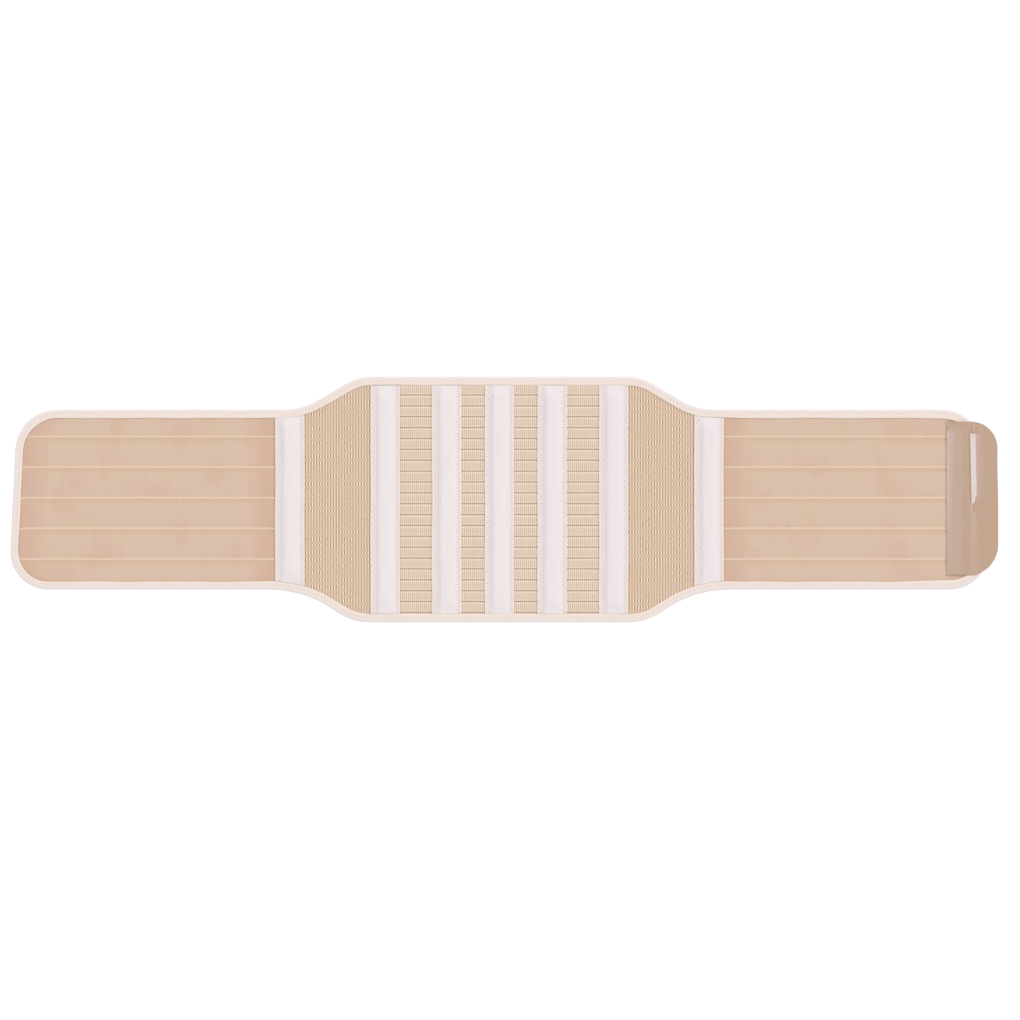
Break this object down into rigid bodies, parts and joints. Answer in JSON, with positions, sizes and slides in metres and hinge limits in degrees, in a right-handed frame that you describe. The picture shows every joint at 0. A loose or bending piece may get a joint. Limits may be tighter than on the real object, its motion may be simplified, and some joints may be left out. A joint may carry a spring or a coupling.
{
  "type": "lumbosacral brace",
  "caption": "Wide elastic back brace laid flat: ribbed back with upright stay pockets, open-work gussets, soft loop-faced wings, bound edge and a hook tab at one end.",
  "frame": {"origin": "middle of the back panel's inner face, on the surface that the opened brace lies on", "axes": "+X along the belt towards the hook tab, +Y up when worn, +Z out of the outer face"},
  "size_m": [0.9628, 0.24, 0.0065],
  "materials": {
    "wing_velour": "brushed loop velour, matt",
    "gusset_openwork": "open-work elastic weave with raised light floats",
    "ribbed_elastic": "elastic weave with cross ribs and fine upright cords",
    "pocket_tape": "smooth woven tape with sewn hems",
    "binding_tape": "soft knitted binding",
    "hook_sheet": "moulded hook sheet, smooth glossy back"
  },
  "bodies": {
    "root": {"wing_left": "wing_velour", "wing_right": "wing_velour", "mesh_gusset_left": "gusset_openwork", "mesh_gusset_right": "gusset_openwork", "back_panel": "ribbed_elastic", "stay_pocket_1": "pocket_tape", "stay_pocket_2": "pocket_tape", "stay_pocket_3": "pocket_tape", "stay_pocket_4": "pocket_tape", "stay_pocket_5": "pocket_tape", "wing_pocket_left": "pocket_tape", "wing_pocket_right": "pocket_tape", "edge_binding": "binding_tape", "hook_tab": "hook_sheet"}
  },
  "joints": []
}
